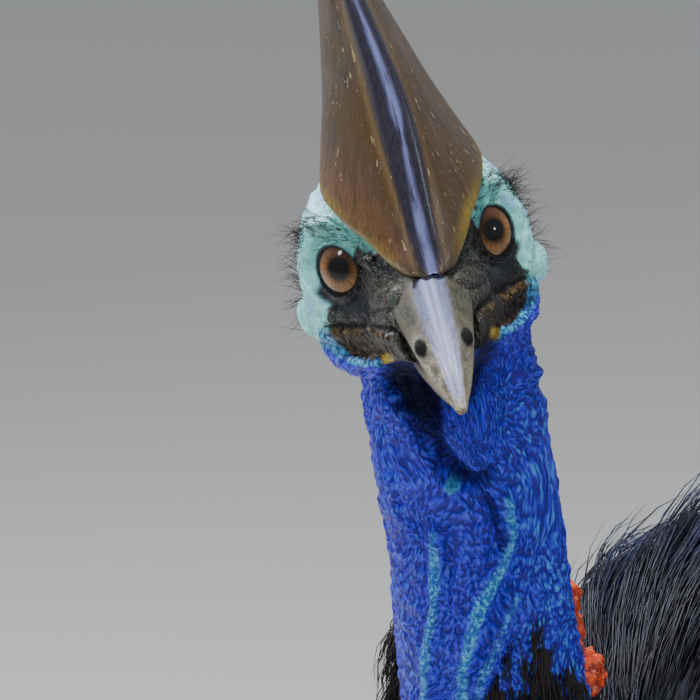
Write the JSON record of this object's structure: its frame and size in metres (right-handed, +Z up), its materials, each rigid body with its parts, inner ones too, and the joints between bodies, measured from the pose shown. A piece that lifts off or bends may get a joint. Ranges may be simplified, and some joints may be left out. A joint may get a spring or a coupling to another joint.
{
  "type": "cassowary",
  "caption": "Life-size still cassowary standing with its head turned aside: tall casque, blue neck, hanging wattles, shaggy black coat and strong scaly legs.",
  "frame": {"origin": "on the floor, under the middle of the whole bird's box", "axes": "+Z up; the body faces -Y and its left side is +X; the head is turned to its left"},
  "size_m": [0.5022, 0.9508, 1.3108],
  "materials": {
    "pale_skin": "bare pale turquoise skin with fine black bristles",
    "blue_skin": "granular wrinkled cobalt-blue skin, satin",
    "caruncle_skin": "granular orange-red skin, satin",
    "wattle_skin": "soft wrinkled red skin, satin",
    "casque_horn": "brown streaked horn with a dark polished keel",
    "bill_horn": "grey horn, glossy along the ridge",
    "eye": "amber-brown iris under a clear wet surface",
    "plumage": "black hair-like feathers with a bluish sheen",
    "quill": "bare black shafts",
    "leg_scales": "grey-olive scutes",
    "claw_horn": "dark horn, worn at the tips"
  },
  "bodies": {
    "root": {"head": "pale_skin", "casque": "casque_horn", "bill_upper": "bill_horn", "bill_lower": "bill_horn", "eye_left": "eye", "eye_right": "eye", "neck": "blue_skin", "caruncles": "caruncle_skin", "wattle_left": "wattle_skin", "wattle_right": "wattle_skin", "torso": "plumage", "tail": "plumage", "wing_left": "quill", "wing_right": "quill", "thigh_left": "plumage", "thigh_right": "plumage", "shank_left": "leg_scales", "shank_right": "leg_scales", "foot_left": "leg_scales", "foot_right": "leg_scales", "toe_inner_left": "leg_scales", "toe_middle_left": "leg_scales", "toe_outer_left": "leg_scales", "toe_inner_right": "leg_scales", "toe_middle_right": "leg_scales", "toe_outer_right": "leg_scales", "claw_inner_left": "claw_horn", "claw_middle_left": "claw_horn", "claw_outer_left": "claw_horn", "claw_inner_right": "claw_horn", "claw_middle_right": "claw_horn", "claw_outer_right": "claw_horn"}
  },
  "joints": []
}
